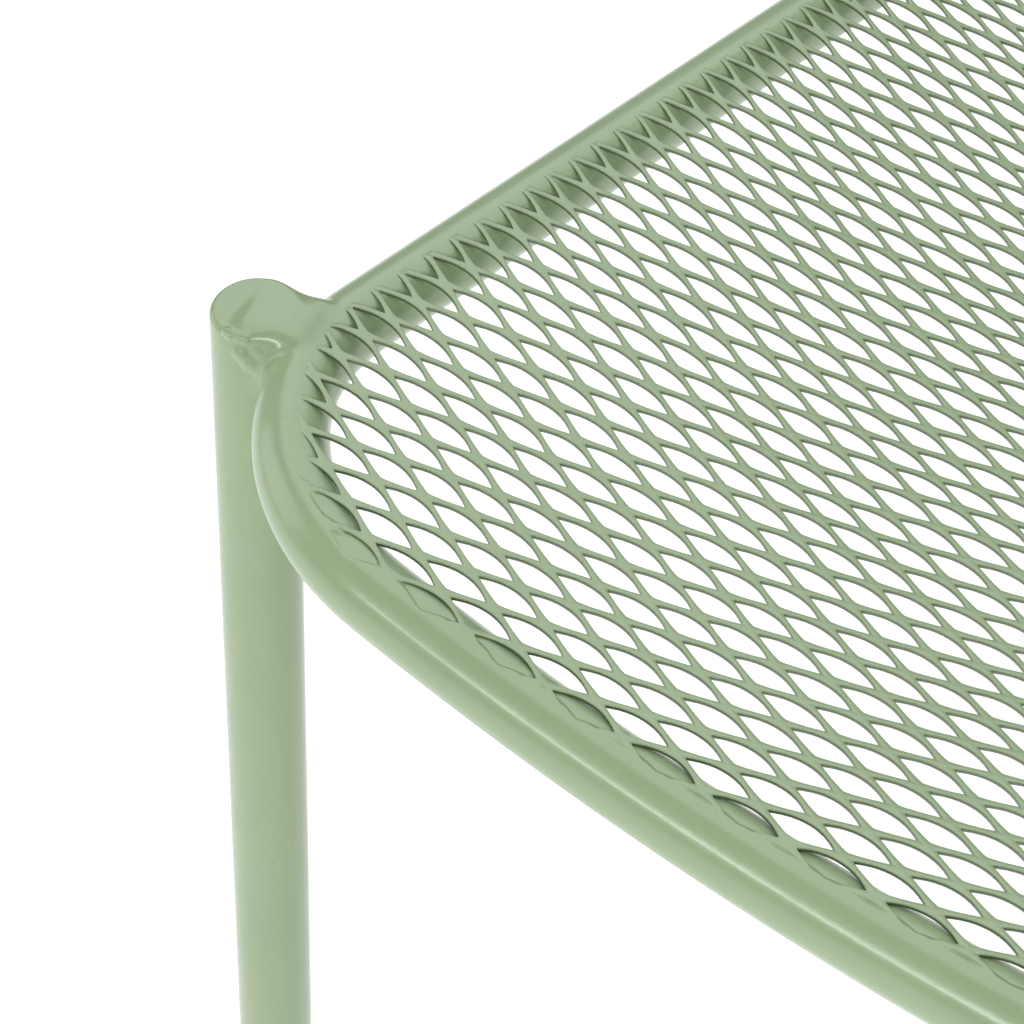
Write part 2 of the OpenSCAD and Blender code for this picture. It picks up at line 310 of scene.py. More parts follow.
class Hoop:
    """A closed hoop of tube in its own frame, with side rails along Y and a dipped rail at each end."""

    def __init__(self, half, straight):
        self.half = half
        self.straight = straight
        self.plan_r = CORNER_R * math.cos(SCOOP)
        self.rail_angle = math.acos(math.sin(CORNER_TURN) * math.cos(SCOOP))
        self.rail_tip = math.atan2(math.sin(CORNER_TURN) * math.sin(SCOOP), math.cos(CORNER_TURN))
        self.rail_start = half - self.plan_r * (1 - math.cos(CORNER_TURN))
        self.rail_r = self.rail_start / math.sin(self.rail_angle)
        self.corner_drop = CORNER_R * math.sin(SCOOP) * (1 - math.cos(CORNER_TURN))
        self.corner_depth = straight / 2 + CORNER_R * math.sin(CORNER_TURN)

    def rail_bow(self, x):
        """How far the rail's arc at x has risen above its chord."""
        return np.sqrt(self.rail_r**2 - x**2) - self.rail_r * math.cos(self.rail_angle)

    def reach(self):
        """How far the centreline goes along Y, at the middle of an end rail."""
        return self.corner_depth + self.rail_bow(0.0) * math.cos(self.rail_tip)

    def drop(self, x):
        """How far the hoop's centreline lies below its side rails, at this distance from the middle."""
        x = np.abs(x)
        on_rail = self.corner_drop + self.rail_bow(np.minimum(x, self.rail_start)) * math.sin(self.rail_tip)
        return np.where(x > self.rail_start, math.tan(SCOOP) * (self.half - x), on_rail)

    def path(self, step):
        """Points along the centreline, closed, and the outward horizontal direction at each."""
        count = max(4, round(self.straight / 2 / step))
        along = np.linspace(0, self.straight / 2, count, endpoint=False)
        side = np.stack([np.full(count, -self.half), -along, np.zeros(count)], axis=1)
        t = np.linspace(0, CORNER_TURN, round(CORNER_R * CORNER_TURN / step), endpoint=False)
        swing = CORNER_R * (1 - np.cos(t))
        corner = np.stack(
            [
                -self.half + swing * math.cos(SCOOP),
                -self.straight / 2 - CORNER_R * np.sin(t),
                -swing * math.sin(SCOOP),
            ],
            axis=1,
        )
        b = np.linspace(-self.rail_angle, 0, round(self.rail_r * self.rail_angle / step))
        bow = self.rail_r * (np.cos(b) - math.cos(self.rail_angle))
        rail = np.stack(
            [
                self.rail_r * np.sin(b),
                -self.corner_depth - bow * math.cos(self.rail_tip),
                -self.corner_drop - bow * math.sin(self.rail_tip),
            ],
            axis=1,
        )
        quarter = np.concatenate([side, corner, rail])
        front = np.concatenate([quarter, quarter[-2::-1] * [-1, 1, 1]])
        path = np.concatenate([front, front[-2:0:-1] * [1, -1, 1]])
        ahead = unit(np.roll(path, -1, axis=0) - np.roll(path, 1, axis=0))
        return path, unit(np.cross(ahead, [0.0, 0.0, 1.0]))

    def measure(self, x, y):
        """Distance out from the centreline in plan, the centreline's height, and the cosine of its slope."""
        x, y = np.abs(x), np.abs(y)
        b = np.arcsin(np.clip(x / self.rail_r, -1, 1))
        tip_cos, tip_sin = math.cos(self.rail_tip), math.sin(self.rail_tip)
        rail_y = self.corner_depth + self.rail_bow(np.minimum(x, self.rail_start)) * tip_cos
        rail_out = (y - rail_y) * np.cos(np.arctan(np.tan(b) * tip_cos))
        rail_level = np.cos(np.arctan(np.tan(b) * tip_sin))
        u, v = (x - self.half + self.plan_r) / self.plan_r, (y - self.straight / 2) / CORNER_R
        q = np.hypot(u, v) + 1e-9
        corner_out = (q - 1) * q / np.hypot(u / self.plan_r, v / CORNER_R)
        corner_low = -CORNER_R * math.sin(SCOOP) * (1 - u / q)
        corner_level = np.sqrt(1 - (v / q * math.sin(SCOOP)) ** 2)
        on_side = y < self.straight / 2
        on_rail = ~on_side & (x < self.rail_start)
        out = np.where(on_side, x - self.half, np.where(on_rail, rail_out, corner_out))
        low = np.where(on_side, 0.0, np.where(on_rail, -self.drop(x), corner_low))
        level = np.where(on_side, 1.0, np.where(on_rail, rail_level, corner_level))
        return out, low, level


class Panel:
    """Expanded metal resting on a hoop: its rim follows the tube and sinks into the powder coat."""

    def __init__(self, hoop, origin, dish, seed):
        self.hoop = hoop
        self.origin = origin
        self.dish = dish
        self.shift_x = Waviness(seed, *WANDER_WAVES)
        self.shift_y = Waviness(seed + 1, *WANDER_WAVES)
        self.ripple = Waviness(seed + 2, *RIPPLE_WAVES)

    def tube_top(self, x, y):
        """Distance out from the tube's centreline in plan, and the height of the tube's top there."""
        out, low, level = self.hoop.measure(x, y)
        return out, low + np.sqrt(np.maximum(HOOP_R**2 - out**2, 0.01)) / level

    def sheet_middle(self, x, y):
        """Height of the sheet's middle, the distance out from the tube's centreline, and the tube's top."""
        hoop = self.hoop
        out, top = self.tube_top(x, y)
        across = np.clip((hoop.half - np.abs(x)) / hoop.half, 0, 1)
        depth = np.clip((hoop.reach() - DISH_START - np.sqrt(y**2 + DISH_ROUND**2)) / DISH_RUN, 0, 1)
        dish = self.dish * (1 - (1 - across) ** 2) * (1 - (1 - depth) ** 2)
        free = SHEET_LIFT - hoop.drop(x) - dish + RIPPLE * self.ripple.at(x, y)
        turned = self.turned(y)
        start = SINK_START + SINK_START_TURNED * turned
        end = start + SINK_WIDTH + SINK_WIDTH_TURNED * turned
        sunk = top + SINK_FROM - SINK_BY * smooth_step(start, end, out)
        blend_start = BLEND_START + BLEND_START_TURNED * turned
        blend_end = BLEND_END + BLEND_END_TURNED * turned
        blend = smooth_step(blend_start, blend_end, out)
        return free * (1 - blend) + sunk * blend, out, top

    def turned(self, y):
        """0 along the side rails, 1 along the front and back rails, changing near the corners' far ends."""
        return smooth_step(0.8, 0.97, (np.abs(y) - self.hoop.straight / 2) / CORNER_R)


def hole_edge(x, up):
    """Half height of an opening at a distance x from its middle, on its upper side or its lower one."""
    t = np.clip(np.abs(x) / HOLE_TIP, 0, 1)
    return HOLE_UP * (1 - t**HOLE_UP_POWER) if up else HOLE_DOWN * (1 - t**HOLE_DOWN_POWER)


def tile():
    """One opening and the metal around it, as far as the middle of its strands: points and faces.

    A point is a place in plan, a height from the sheet's middle and how much painted shade darkens its
    colour, from 0 to 1.
    """
    per_side = 8
    w = (1 - np.cos(np.linspace(0, math.pi, per_side + 1))) / 2
    rim, hole = [], []
    for sx, sy in ((1, 1), (-1, 1), (-1, -1), (1, -1)):
        for f in w[:-1] if sx == sy else w[::-1][:-1]:
            x = HOLE_TIP * (1 - f)
            rim.append([sx * PITCH_X / 2 * (1 - f), sy * PITCH_Y / 2 * f])
            hole.append([sx * x, hole_edge(x, sy > 0) * sy])
    rim, hole = np.array(rim), np.array(hole)
    ahead = unit(np.roll(hole, -1, axis=0) - np.roll(hole, 1, axis=0))
    normal = np.stack([ahead[:, 1], -ahead[:, 0]], axis=1)
    count = len(rim)
    rings = [np.column_stack([rim, np.full(count, -SHEET_T / 2), np.zeros(count)])]
    # Round the opening's edge, from the bottom up: angle, height in half thicknesses, and painted shade on
    # the side faces
    for angle, height, side_shade in ((-90, -1, 0.8), (-40, -0.8, 1), (10, 0.35, 1), (55, 0.87, 0.1), (90, 1, 0)):
        spread = hole + normal * EDGE_R * (1 - math.cos(math.radians(angle)))
        rings.append(np.column_stack([spread, np.full(count, SHEET_T / 2 * height), np.full(count, side_shade)]))
    rings.append(np.column_stack([rim, np.full(count, SHEET_T / 2), np.zeros(count)]))
    points = np.concatenate(rings)
    return points, grid_faces(len(rings), count, False, True)


def panel_mesh(panel):
    """The whole panel: a tile at every opening, bent to the sheet and cut off inside the tube."""
    hoop = panel.hoop
    points, faces = tile()
    rows = math.ceil((hoop.reach() + LAYOUT_MARGIN + abs(panel.origin[1])) / PITCH_Y) + 1
    columns = math.ceil((hoop.half + LAYOUT_MARGIN + abs(panel.origin[0])) / PITCH_X) + 1
    centres = []
    for half_step in (0.0, 0.5):
        i, j = np.meshgrid(np.arange(-columns, columns + 1), np.arange(-rows, rows + 1), indexing="ij")
        grid = np.stack([(i.ravel() + half_step) * PITCH_X, (j.ravel() + half_step) * PITCH_Y], axis=1)
        centres.append(grid + panel.origin)
    centres = np.concatenate(centres)
    out = hoop.measure(centres[:, 0], centres[:, 1])[0]
    inside = np.abs(centres[:, 0]) < hoop.half + LAYOUT_MARGIN
    inside &= np.abs(centres[:, 1]) < hoop.reach() + REACH_MARGIN
    centres = centres[(out < OPENING_LIMIT) & inside]
    plan = centres[:, None] + points[None, :, :2]
    x, y = plan[..., 0].ravel(), plan[..., 1].ravel()
    thick, side_shade = np.tile(points[:, 2], len(centres)), np.tile(points[:, 3], len(centres))
    x, y = x + WANDER_X * panel.shift_x.at(x, y), y + WANDER_Y * panel.shift_y.at(x, y)
    middle, out, _ = panel.sheet_middle(x, y)
    # The painted shade on the strands' side faces fades out where the sheet reaches the tube
    side_shade = side_shade * (1 - smooth_step(-1.4, 0.2, out))
    all_faces = (faces[None] + (np.arange(len(centres)) * len(points))[:, None, None]).reshape(-1, 4)
    all_faces = all_faces[out[all_faces].max(axis=1) < FACE_OUTER_LIMIT]
    all_faces = all_faces[out[all_faces].min(axis=1) < FACE_INNER_LIMIT]
    return merged(np.column_stack([x, y, middle + thick, side_shade]), all_faces)


def metal_depth(panel, x, y):
    """How deep in the metal a point lies, negative in an opening, and how far out the nearest opening is."""
    shift_x, shift_y = WANDER_X * panel.shift_x.at(x, y), WANDER_Y * panel.shift_y.at(x, y)
    x, y = x - shift_x - panel.origin[0], y - shift_y - panel.origin[1]
    depth = np.full(x.shape, 1e3)
    centre = np.zeros(x.shape)
    for half_step in (0.0, 0.5):
        column = np.round(x / PITCH_X - half_step) + half_step
        row = np.round(y / PITCH_Y - half_step) + half_step
        dx, dy = x - column * PITCH_X, y - row * PITCH_Y
        inner = np.maximum(dy - hole_edge(dx, True), -dy - hole_edge(dx, False)) * EDGE_SLOPE
        inner = np.where(np.abs(dx) > HOLE_TIP, np.hypot(np.abs(dx) - HOLE_TIP, dy), inner)
        out = panel.hoop.measure(column * PITCH_X + panel.origin[0], row * PITCH_Y + panel.origin[1])[0]
        nearer = inner < depth
        depth, centre = np.where(nearer, inner, depth), np.where(nearer, out, centre)
    return depth, centre


def coat_mesh(panel, seed):
    """The powder coat that fills the corner between panel and tube, as a thin skin along the tube's crown."""
    path, side = panel.hoop.path(COAT_STEP)
    out = np.arange(COAT_FROM, COAT_TO, COAT_STEP)
    x = path[:, None, 0] + side[:, None, 0] * out
    y = path[:, None, 1] + side[:, None, 1] * out
    middle, _, top = panel.sheet_middle(x, y)
    depth, centre = metal_depth(panel, x, y)

    # The strands' upper side, pushed down where they hang clear of the tube or lie inside its crown
    edge = np.clip(depth / EDGE_R, 0, 1)
    rounded = SHEET_T / 2 * np.sqrt(np.maximum(1 - (1 - edge) ** 2, 0))
    strand = middle + np.where(depth > 0, rounded, STRAND_FALL * depth)
    gap = middle - SHEET_T / 2 - top
    hanging = np.maximum(smooth_step(0.05, 0.6, gap), 1 - smooth_step(-1.2, -0.2, out))
    strand = strand - STRAND_DROP * hanging

    # The coat that has run over the front and back rails. It fills all but the openings nearest the crown.
    filled = np.maximum(smooth_step(1.0, 2.0, centre), smooth_step(-1.3, -0.4, depth))
    level = COAT_LEVEL * panel.turned(y) * smooth_step(-0.6, 1.0, out) * (1 - smooth_step(2.5, 7.5, out))
    skin = smooth_max(top + level * filled, strand, COAT_MELT)

    # Drops and pits in the coat along the edges of the openings
    rng = np.random.default_rng(seed)
    soft = rng.random(x.shape)
    for axis in (0, 1):
        soft = (np.roll(soft, 1, axis=axis) + 2 * soft + np.roll(soft, -1, axis=axis)) / 4
    near_edge = np.exp(-((depth / DROP_BAND) ** 2)) * smooth_step(-1.6, -0.3, out)
    near_edge = near_edge * (1 - smooth_step(1.2, 2.4, out)) * smooth_step(0.5, 2.5, centre)
    drops = np.maximum(soft - DROP_ABOVE, 0) * DROP_HEIGHT * near_edge
    pits = np.maximum(PIT_BELOW - soft, 0) * DROP_HEIGHT * near_edge
    skin = skin + drops - pits

    raised = skin - np.maximum(top, strand)
    points = np.stack([x, y, skin - SKIN_SINK], axis=2).reshape(-1, 3)
    faces = grid_faces(len(path), len(out), True, False)
    faces = faces[(raised.ravel()[faces] > SKIN_KEPT).any(axis=1)]
    return merged(points, faces)


# ---- Welded joints ----

# The joint's tubes are thinner than the bare ones by this, and a front leg (-1) and a rear leg (1) melt
# into the seat hoop over this width
JOINT_INSET = 0.05
MELT = {-1: 8.0, 1: 5.0}
# A block of weld metal that fills the top of a front joint: its middle toward the hoop, across and up from
# the leg's axis, its half sizes the same way, its rounding and how widely it melts into the rest
FILL_PLACE = (7.5, 1.6, 4.8)
FILL_HALF = (9.0, 9.6, 5.6)
FILL_ROUND = 3.0
FILL_MELT = 4.0
# Balls of weld metal down both sides of a joint: their number, the heights that they start and end at, how
# far toward the hoop and across they lie, how much more across for each millimetre of height, and their
# radii
BALLS = 8
BALL_TOP, BALL_BOTTOM = 4.0, -9.0
BALL_TOWARD, BALL_ACROSS, BALL_SPREAD = 8.8, 6.0, 0.1
BALL_SMALLEST, BALL_LARGEST = 1.9, 2.7
BALL_SHIFT = 0.5
BALL_MELT = 0.7
WELD_MELT = 1.2
# Ripples of weld metal under a front leg's rim and drops of coat on it: the turn about the leg in degrees,
# the height, the radius, and how deep the middle lies in the leg
FRONT_LUMPS = (
    (-12, 3.6, 2.1, 1.0),
    (0, 1.4, 2.4, 0.9),
    (13, 4.6, 2.2, 1.1),
    (16, -0.6, 2.4, 0.9),
    (21, -4.4, 2.2, 1.0),
    (28, -8.0, 2.0, 1.2),
    (-34, 8.7, 1.0, 0.6),
    (-28, 8.2, 0.7, 0.5),
    (-6, 8.0, 1.0, 0.6),
    (-18, 8.6, 0.6, 0.5),
)
# Horizontal directions that the lumps' turns start from and go toward
LUMPS_FACING = np.array([0.6, -0.8, 0.0])
LUMPS_SIDEWAYS = np.array([0.8, 0.6, 0.0])
# The box in which a joint is sampled: its half sizes, its step, how far it lies below the rails' centreline
# and how far toward the hoop
JOINT_HALF = np.array([20.0, 20.0, 17.0])
JOINT_STEP = 0.45
JOINT_DROP = 4.0
JOINT_TOWARD = 7.0
# The skin is kept where it is outside the bare tubes or just under them
JOINT_KEPT = -0.045


def surface_nets(field, low, step):
    """A mesh of the zero surface of a field sampled on a grid, with its solid side below zero.

    Each cell that the surface crosses has one point, at the mean of its edges' crossings. Each grid edge that
    crosses the surface has a quad between the four cells round it.
    """
    inside = field < 0
    nx, ny, nz = field.shape
    total = np.zeros((nx - 1, ny - 1, nz - 1, 3))
    count = np.zeros((nx - 1, ny - 1, nz - 1))
    corners = [np.array(c) for c in np.ndindex(2, 2, 2)]

    def part(values, c):
        return values[c[0] : nx - 1 + c[0], c[1] : ny - 1 + c[1], c[2] : nz - 1 + c[2]]

    for a in corners:
        for axis in range(3):
            if a[axis]:
                continue
            b = a.copy()
            b[axis] = 1
            fa, fb = part(field, a), part(field, b)
            crossing = part(inside, a) != part(inside, b)
            t = np.where(crossing, fa / np.where(crossing, fa - fb, 1), 0)
            for k in range(3):
                total[..., k] += np.where(crossing, a[k] + (t if k == axis else 0), 0)
            count += crossing
    cells = count > 0
    number = np.full(cells.shape, -1)
    number[cells] = np.arange(cells.sum())
    where = np.argwhere(cells)
    points = low + step * (where + total[cells] / count[cells][:, None])
    faces = []
    for axis in range(3):
        p, q = (axis + 1) % 3, (axis + 2) % 3
        first = np.moveaxis(inside, axis, 0)[:-1]
        second = np.moveaxis(inside, axis, 0)[1:]
        change = np.moveaxis(first != second, 0, axis)
        start_in = np.moveaxis(first, 0, axis)
        spots = np.argwhere(change)
        ok = (spots[:, p] > 0) & (spots[:, q] > 0)
        ok &= (spots[:, p] < cells.shape[p]) & (spots[:, q] < cells.shape[q])
        spots = spots[ok]
        ring = []
        for dp, dq in ((-1, -1), (0, -1), (0, 0), (-1, 0)):
            cell = spots.copy()
            cell[:, p] += dp
            cell[:, q] += dq
            ring.append(number[tuple(cell.T)])
        quads = np.stack(ring, axis=1)
        forward = start_in[tuple(spots.T)]
        quads[~forward] = quads[~forward][:, ::-1]
        faces.append(quads)
    return points, np.concatenate(faces)


def hoop_distance(points, end):
    """Distance from the seat hoop's surface near its left corner, at the front (-1) or the back (1)."""
    x, y, z = points[..., 0], points[..., 1] * -end, points[..., 2]
    inward = x + SEAT_HALF - CORNER_R * math.cos(SCOOP)
    lift = z + CORNER_R * math.sin(SCOOP)
    along = inward * -math.cos(SCOOP) + lift * math.sin(SCOOP)
    tall = inward * math.sin(SCOOP) + lift * math.cos(SCOOP)
    past = -y - SEAT_STRAIGHT / 2
    flat = np.where(past > 0, np.hypot(along, past), along) - CORNER_R
    return np.hypot(flat, tall) - HOOP_R


def cap_height(x, y):
    """How far the top of a front leg stands above the seat hoop, at a place measured from the leg's axis."""
    return CAP_RISE - math.tan(CAP_TILT) * (x * CAP_FALL[0] + y * CAP_FALL[1])


def leg_distance(points, end):
    """Distance from a left leg's surface: the front leg ends level with the seat, the rear one passes it."""
    if end < 0:
        x, y = points[..., 0] + LEG_X, points[..., 1] + LEG_Y
        out = np.hypot(x, y) - LEG_R + CAP_ROUND
        over = (points[..., 2] - HOOP_R - cap_height(x, y)) * math.cos(CAP_TILT) + CAP_ROUND
        outside = np.hypot(np.maximum(out, 0), np.maximum(over, 0))
        return np.minimum(np.maximum(out, over), 0) + outside - CAP_ROUND
    back = (points[..., 1] - REAR_Y) * math.cos(REAR_SPLAY) + points[..., 2] * math.sin(REAR_SPLAY)
    return np.hypot(points[..., 0] + REAR_X, back) - LEG_R


def ball_distance(points, centre, radius):
    return np.linalg.norm(points - centre, axis=-1) - radius


def block_distance(points, centre, ahead, half_size, rounding):
    """Distance from a rounded block that points along a horizontal direction."""
    offset = points - centre
    sideways = np.array([-ahead[1], ahead[0], 0.0])
    local = np.stack([offset @ ahead, offset @ sideways, offset[..., 2]], axis=-1)
    excess = np.abs(local) - (np.array(half_size) - rounding)
    return np.linalg.norm(np.maximum(excess, 0), axis=-1) + np.minimum(excess.max(axis=-1), 0) - rounding


def front_lumps(leg):
    """The lumps on a front leg, as middles and radii."""
    lumps = []
    for turn, height, radius, depth in FRONT_LUMPS:
        a = math.radians(turn)
        heading = LUMPS_FACING * math.cos(a) + LUMPS_SIDEWAYS * math.sin(a)
        lumps.append((leg + heading * (LEG_R - depth) + [0, 0, height], radius))
    return lumps


def joint_field(end):
    """Functions for the distance from the melted joint and from its bare tubes, and the joint's middle."""
    if end < 0:
        leg = np.array([-LEG_X, -LEG_Y, 0.0])
    else:
        leg = np.array([-REAR_X, REAR_Y, -CORNER_R * math.sin(SCOOP) * (1 - math.cos(REAR_LEG_TURN))])
    toward = unit(np.array([-CORNER_X, SEAT_STRAIGHT / 2 * end, leg[2]]) - leg)
    across = np.array([-toward[1], toward[0], 0.0])
    rng = np.random.default_rng(20 + end)
    lumps = front_lumps(leg) if end < 0 else []
    for face in (-1, 1):
        for height in np.linspace(BALL_TOP, BALL_BOTTOM, BALLS):
            spot = leg + toward * (BALL_TOWARD + rng.uniform(-BALL_SHIFT, BALL_SHIFT))
            spot = spot + across * face * (BALL_ACROSS + BALL_SPREAD * abs(height))
            spot = spot + [0, 0, height + rng.uniform(-BALL_SHIFT, BALL_SHIFT)]
            lumps.append((spot, rng.uniform(BALL_SMALLEST, BALL_LARGEST)))
    fill_centre = leg + toward * FILL_PLACE[0] + across * FILL_PLACE[1] + [0, 0, FILL_PLACE[2]]

    def field(points):
        leg_side = leg_distance(points, end) + JOINT_INSET
        hoop_side = hoop_distance(points, end) + JOINT_INSET
        body = smooth_min(leg_side, hoop_side, MELT[end])
        if end < 0:
            fill = block_distance(points, fill_centre, toward, FILL_HALF, FILL_ROUND)
            body = smooth_min(body, fill, FILL_MELT)
        weld = None
        for spot, radius in lumps:
            ball = ball_distance(points, spot, radius)
            weld = ball if weld is None else smooth_min(weld, ball, BALL_MELT)
        return smooth_min(body, weld, WELD_MELT)

    def bare(points):
        return np.minimum(leg_distance(points, end), hoop_distance(points, end))

    return field, bare, leg + toward * JOINT_TOWARD


def joint_mesh(end):
    """The skin of the welded joint where it stands proud of the leg and the hoop."""
    field, bare, centre = joint_field(end)
    low = centre + [0, 0, -JOINT_DROP] - JOINT_HALF
    axes = [low[k] + JOINT_STEP * np.arange(int(2 * JOINT_HALF[k] / JOINT_STEP)) for k in range(3)]
    grid = np.stack(np.meshgrid(*axes, indexing="ij"), axis=-1)
    points, faces = surface_nets(field(grid), low, JOINT_STEP)

    # Move the points onto the surface along the field's slope, in three rounds
    nudge = 0.05
    for _ in range(3):
        value = field(points)
        slope = [(field(points + d) - field(points - d)) / (2 * nudge) for d in np.eye(3) * nudge]
        slope = np.stack(slope, axis=1)
        points = points - slope * (value / np.maximum((slope**2).sum(axis=1), 0.2))[:, None]
    proud = bare(points) > JOINT_KEPT
    faces = faces[proud[faces].any(axis=1)]
    return merged(points, faces, 0.0005)


# ---- Materials ----

# The coat's colour, and how much of it is left where shade is painted on the strands' side faces
SAGE = np.array([0.302, 0.413, 0.229])
SIDE_SHADE_TINT = np.array([0.3, 0.29, 0.24])
# Depths of bumps, in metres
ORANGE_PEEL = 0.00006
FINE_GRAIN = 0.000012
MOULD_GRAIN = 0.00003


def new_material(name, roughness):
    """A material, its node tree and its shader."""
    material = bpy.data.materials.new(name)
    material.use_nodes = True
    shader = material.node_tree.nodes["Principled BSDF"]
    shader.inputs["Roughness"].default_value = roughness
    return material, material.node_tree, shader


def noise(tree, scale, detail):
    """Noise in the object's own coordinates, in metres."""
    coords = tree.nodes.get("coords")
    if coords is None:
        coords = tree.nodes.new("ShaderNodeTexCoord")
        coords.name = "coords"
    node = tree.nodes.new("ShaderNodeTexNoise")
    node.inputs["Scale"].default_value = scale
    node.inputs["Detail"].default_value = detail
    tree.links.new(coords.outputs["Object"], node.inputs["Vector"])
    return node.outputs["Fac"]


def ramp(tree, source, low, high, start, end):
    """Turns a value into a colour, from low at start to high at end."""
    node = tree.nodes.new("ShaderNodeValToRGB")
    node.color_ramp.elements[0].position = start
    node.color_ramp.elements[1].position = end
    node.color_ramp.elements[0].color = (*low, 1)
    node.color_ramp.elements[1].color = (*high, 1)
    tree.links.new(source, node.inputs["Fac"])
    return node.outputs["Color"]


def spread(tree, source, low, high):
    """Spreads the middle of a noise's range over the values from low to high."""
    node = tree.nodes.new("ShaderNodeMapRange")
    node.inputs["From Min"].default_value = 0.3
    node.inputs["From Max"].default_value = 0.7
    node.inputs["To Min"].default_value = low
    node.inputs["To Max"].default_value = high
    tree.links.new(source, node.inputs["Value"])
    return node.outputs["Result"]


def bump(tree, shader, layers):
    """Adds bump layers, each a height source and a depth in metres."""
    normal = None
    for source, distance in layers:
        node = tree.nodes.new("ShaderNodeBump")
        node.inputs["Strength"].default_value = 1.0
        node.inputs["Distance"].default_value = distance
        tree.links.new(source, node.inputs["Height"])
        if normal is not None:
            tree.links.new(normal, node.inputs["Normal"])
        normal = node.outputs["Normal"]
    tree.links.new(normal, shader.inputs["Normal"])


def powder_coat(name, shaded_sides=False):
    """Satin powder coat with faint orange peel. The second argument adds painted shade: the colour is
    darkened where the mesh's shade attribute is high.
    """
    material, tree, shader = new_material(name, 0.3)
    colour = ramp(tree, noise(tree, 14, 3), SAGE * 0.94, SAGE * 1.06, 0.15, 0.85)
    if shaded_sides:
        # Painted shade: the colour is mixed toward a dark olive by the mesh's attribute
        side_shade = tree.nodes.new("ShaderNodeAttribute")
        side_shade.attribute_name = "painted_shade"
        mix = tree.nodes.new("ShaderNodeMix")
        mix.data_type = "RGBA"
        mix.inputs["B"].default_value = (*SAGE * SIDE_SHADE_TINT, 1)
        tree.links.new(side_shade.outputs["Fac"], mix.inputs["Factor"])
        tree.links.new(colour, mix.inputs["A"])
        colour = mix.outputs["Result"]
    tree.links.new(colour, shader.inputs["Base Color"])
    shader.inputs["Coat Weight"].default_value = 0.6
    shader.inputs["Coat Roughness"].default_value = 0.16
    tree.links.new(spread(tree, noise(tree, 60, 3), 0.27, 0.35), shader.inputs["Roughness"])
    bump(tree, shader, [(noise(tree, 420, 2), ORANGE_PEEL), (noise(tree, 1500, 1), FINE_GRAIN)])
    return material


def moulded_plastic(name, colour, roughness):
    """Plastic with a faintly uneven colour and a fine grain."""
    material, tree, shader = new_material(name, roughness)
    base = np.array(colour)
    tone = ramp(tree, noise(tree, 40, 3), base * 0.85, base * 1.15, 0.3, 0.7)
    tree.links.new(tone, shader.inputs["Base Color"])
    uneven = spread(tree, noise(tree, 300, 2), roughness - 0.08, roughness + 0.08)
    tree.links.new(uneven, shader.inputs["Roughness"])
    bump(tree, shader, [(noise(tree, 1800, 2), MOULD_GRAIN)])
    return material


def floor_material():
    """A pale floor that glows a little, so that it stays nearly white in the chair's shade."""
    material, tree, shader = new_material("floor", 0.9)
    tone = ramp(tree, noise(tree, 1.5, 2), (0.90, 0.90, 0.90), (0.93, 0.93, 0.93), 0.3, 0.7)
    tree.links.new(tone, shader.inputs["Base Color"])
    shader.inputs["Specular IOR Level"].default_value = 0.1
    shader.inputs["Emission Color"].default_value = (1, 1, 1, 1)
    shader.inputs["Emission Strength"].default_value = 0.34
    return material


# ---- The chair ----

tube_coat = powder_coat("powder_coat_tube")
mesh_coat = powder_coat("powder_coat_mesh", shaded_sides=True)
glide_plastic = moulded_plastic("glide_plastic", (0.07, 0.075, 0.07), 0.55)

seat = Hoop(SEAT_HALF, SEAT_STRAIGHT)
back = Hoop(BACK_HALF, BACK_STRAIGHT)
# The origin is at the middle of the chair's whole depth, so the seat's middle is shifted from it
front_reach = seat.reach() + HOOP_R
rear_reach = REAR_Y + RAIL_Z * math.tan(REAR_SPLAY) + (LEG_R + GLIDE_FLANGE) / math.cos(REAR_SPLAY)
CENTRE_SHIFT = (front_reach - rear_reach) / 2


def turn_about_x(angle):
    """The matrix of a turn about X."""
    c, s = math.cos(angle), math.sin(angle)
    return np.array([[1, 0, 0], [0, c, -s], [0, s, c]])


def in_seat(points):
    """Moves points from the seat hoop's frame to the chair's."""
    return points + [0, CENTRE_SHIFT, RAIL_Z]


def in_back(points):
    """Moves points from the back hoop's frame to the chair's."""
    return points @ turn_about_x(math.pi / 2 - BACK_LEAN).T + [0, BACK_Y + CENTRE_SHIFT, BACK_HEIGHT]


def hoop_pieces(panel, place, word, seed):
    """A hoop's tube, its expanded metal and the coat between them."""
    path, side = panel.hoop.path(3.0)
    points, faces = sweep(path, side, HOOP_R, 64, closed=True)
    make_piece(word + "_tube", place(points), faces, tube_coat, [word + "_hoop"])
    points, faces = panel_mesh(panel)
    # The fourth column is painted shade for the strands' side faces
    points, side_shade = points[:, :3], points[:, 3]
    metal, replaced = word + "_expanded_metal", [word + "_mesh"]
    make_piece(metal, place(points), faces, mesh_coat, replaced, painted_shade=side_shade)
    points, faces = coat_mesh(panel, seed)
    make_piece(word + "_coat_fillets", place(points), faces, tube_coat)


hoop_pieces(Panel(seat, SEAT_MESH_ORIGIN, SEAT_DISH, 3), in_seat, "seat", 11)
hoop_pieces(Panel(back, BACK_MESH_ORIGIN, BACK_DISH, 5), in_back, "back", 12)

NAMES = {-1: "left", 1: "right"}


def both_sides(name, points, faces, material, nodes):
    """Makes a left piece and its mirrored right one. Names and nodes get _left or _right."""
    for side, word in NAMES.items():
        mirrored = points * [-side, 1, 1]
        replaced = [node + "_" + word for node in nodes]
        make_piece(name + "_" + word, mirrored, faces, material, replaced, flip=side > 0)


def at_front_leg(points):
    """Moves points from the left front leg's axis to their place in the chair."""
    return points + [-LEG_X, CENTRE_SHIFT - LEG_Y, 0]


